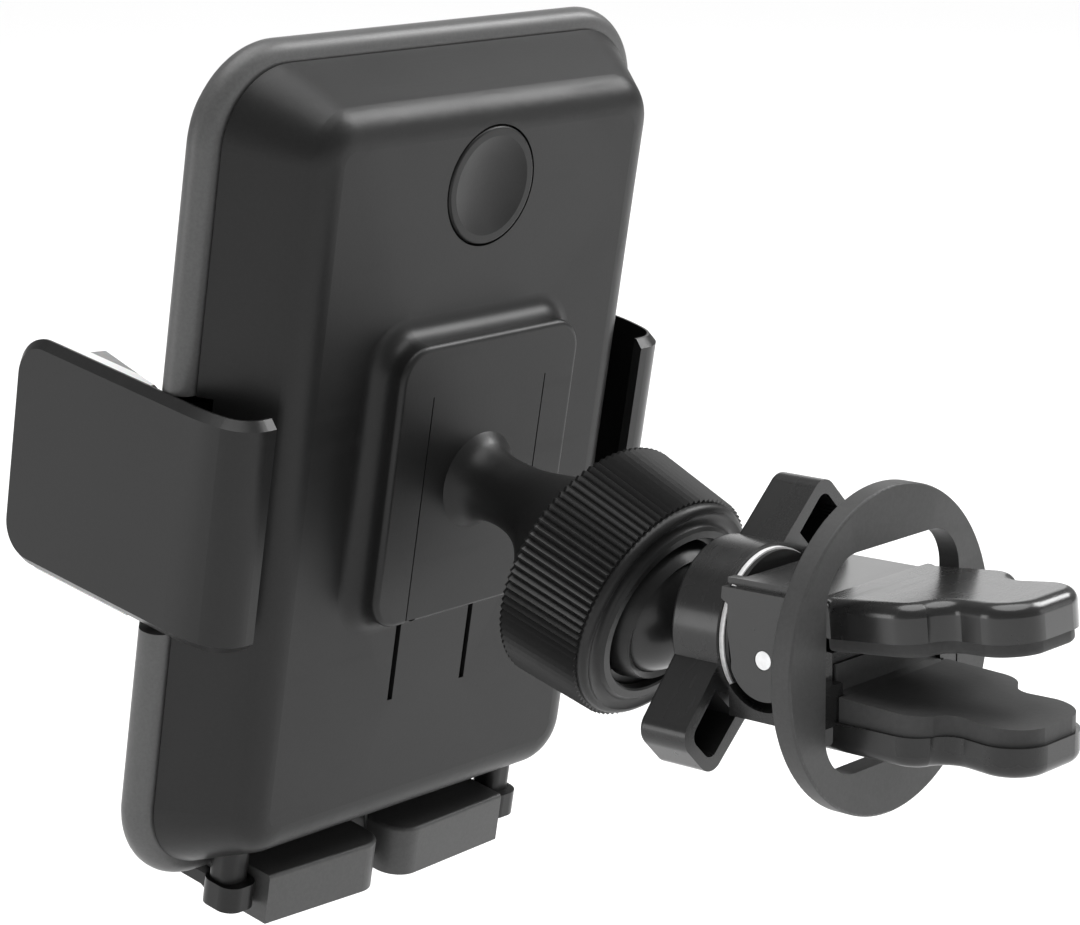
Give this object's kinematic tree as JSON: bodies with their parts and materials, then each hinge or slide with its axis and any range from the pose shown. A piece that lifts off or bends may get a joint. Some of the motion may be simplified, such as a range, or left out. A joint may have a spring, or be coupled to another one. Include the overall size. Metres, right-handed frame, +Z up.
{
  "type": "air vent phone holder",
  "caption": "Phone cradle with spring arms and sliding foot tray on a ball joint, carried by a vent clip with two padded jaws and a support ring.",
  "frame": {"origin": "middle of the vent clip's grip, between its two jaw pads", "axes": "+Y from the phone towards the vent along the clip, +Z up, +X to the left arm's side"},
  "size_m": [0.0764, 0.1269, 0.1089],
  "materials": {
    "case_grey": "matte",
    "case_black": "matte",
    "part_black": "satin",
    "soft_grey": "matte",
    "soft_light": "matte",
    "foot_grey": "matte",
    "nylon_white": "satin",
    "steel": "brushed",
    "black_screw": "satin"
  },
  "bodies": {
    "clip": {"clip_frame": "part_black", "hinge_pin": "steel", "lower_pad": "soft_grey", "support_ring": "case_grey", "jaw_spring": "steel"},
    "washer": {"thrust_washer": "nylon_white", "washer_disc": "part_black"},
    "wing": {"wing_nut": "part_black"},
    "jaw": {"upper_jaw": "part_black", "upper_pad": "soft_grey"},
    "seat_front": {"front_ball_seat": "nylon_white"},
    "seat_rear": {"rear_ball_seat": "part_black"},
    "cradle": {"front_shell": "case_grey", "front_pad": "soft_grey", "rear_cover": "case_black", "socket_stem": "case_black", "stem_screws": "black_screw", "case_screws": "black_screw", "lever_pin": "steel", "button_spring": "steel", "arm_spring": "steel"},
    "nut": {"ball_nut": "part_black"},
    "button": {"release_button": "case_black"},
    "lever": {"release_lever": "nylon_white"},
    "arm_left": {"left_arm": "part_black", "left_arm_pad": "soft_light"},
    "arm_right": {"right_arm": "part_black", "right_arm_pad": "soft_light"},
    "gear": {"arm_gear": "nylon_white"},
    "tray": {"tray_frame": "part_black", "left_foot": "foot_grey", "right_foot": "foot_grey"}
  },
  "joints": [
    {"name": "washer_slide", "type": "slide", "parent": "clip", "child": "washer", "axis": [0, 1, 0], "range_m": [-0.000475, 0.00045]},
    {"name": "wing_turn", "type": "hinge", "parent": "washer", "child": "wing", "pos_m": [0, -0.0315, 0], "axis": [0, 1, 0], "range_deg": [-118, 112]},
    {"name": "jaw_hinge", "type": "hinge", "parent": "clip", "child": "jaw", "pos_m": [0, -0.0218, -0.00115], "axis": [1, 0, 0], "range_deg": [-8.1, 8.5], "deforming": ["jaw_spring"]},
    {"name": "ball_pitch", "type": "hinge", "parent": "clip", "child": "seat_front", "pos_m": [0, -0.046, 0], "axis": [1, 0, 0], "range_deg": [-1.5, 42.5]},
    {"name": "ball_pan", "type": "hinge", "parent": "seat_front", "child": "seat_rear", "pos_m": [0, -0.046, 0], "axis": [0, 0.3502, 0.9367], "range_deg": [-18, 18]},
    {"name": "ball_roll", "type": "hinge", "parent": "seat_rear", "child": "cradle", "pos_m": [0, -0.046, 0], "axis": [0, 0.9367, -0.3502], "continuous": true},
    {"name": "nut_turn", "type": "hinge", "parent": "cradle", "child": "nut", "pos_m": [0, -0.046, 0], "axis": [0, 0.9367, -0.3502], "continuous": true},
    {"name": "button_press", "type": "slide", "parent": "cradle", "child": "button", "axis": [0, -0.9826, 0.1857], "range_m": [0, 0.0018], "stiffness_N_per_m": 500, "springref_m": -0.0015, "deforming": ["button_spring"]},
    {"name": "lever_rock", "type": "hinge", "parent": "cradle", "child": "lever", "pos_m": [0, -0.08019, 0.03424], "axis": [1, 0, 0], "range_deg": [-0.1, 8.2]},
    {"name": "left_arm_slide", "type": "slide", "parent": "cradle", "child": "arm_left", "axis": [1, 0, 0], "range_m": [0, 0.014], "deforming": ["arm_spring"]},
    {"name": "right_arm_slide", "type": "slide", "parent": "cradle", "child": "arm_right", "axis": [-1, 0, 0], "range_m": [-0.0001, 0.0144]},
    {"name": "gear_turn", "type": "hinge", "parent": "cradle", "child": "gear", "pos_m": [0, -0.0896, 0.01134], "axis": [0, 0.9826, -0.1857], "range_deg": [-1, 166]},
    {"name": "tray_slide", "type": "slide", "parent": "cradle", "child": "tray", "axis": [0, -0.1857, -0.9826], "range_m": [0, 0.025]}
  ],
  "couplings": [
    {"joint": "wing_turn", "follows": "washer_slide", "rad_per_m": 4188.8},
    {"joint": "jaw_hinge", "follows": "washer_slide", "rad_per_m": -303.03},
    {"joint": "lever_rock", "follows": "button_press", "rad_per_m": 74.349},
    {"joint": "right_arm_slide", "follows": "left_arm_slide", "ratio": 1},
    {"joint": "gear_turn", "follows": "left_arm_slide", "rad_per_m": 200}
  ]
}
